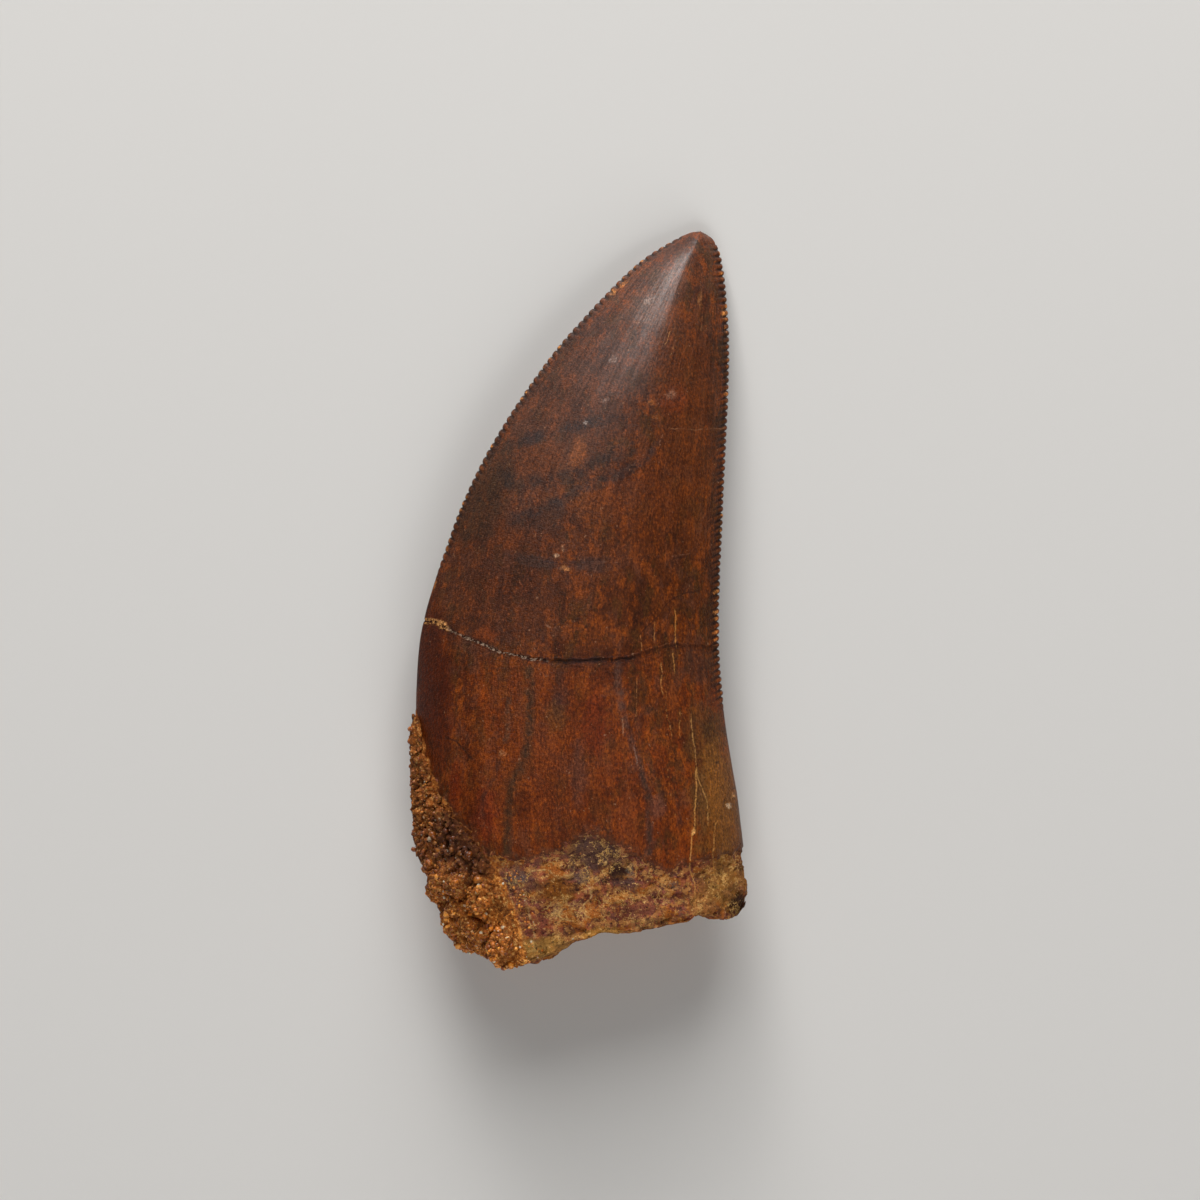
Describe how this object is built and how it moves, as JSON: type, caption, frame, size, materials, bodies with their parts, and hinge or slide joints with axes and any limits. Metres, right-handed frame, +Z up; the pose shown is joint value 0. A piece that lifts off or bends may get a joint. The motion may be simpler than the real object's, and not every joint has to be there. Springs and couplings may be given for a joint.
{
  "type": "fossil dinosaur tooth",
  "caption": "Fossil theropod tooth lying on its side: flat curved serrated crown, broken root stub, sandstone crust on one corner.",
  "frame": {"origin": "middle of the bounding box's underside, on the surface the tooth lies on", "axes": "+Y from the broken root towards the tip, +X towards the nearly straight back edge, +Z up, away from the surface"},
  "size_m": [0.0236, 0.0512, 0.0094],
  "materials": {
    "fossil_enamel": "satin",
    "sandstone": "rough"
  },
  "bodies": {
    "root": {"tooth": "fossil_enamel", "sandstone_matrix": "sandstone"}
  },
  "joints": []
}
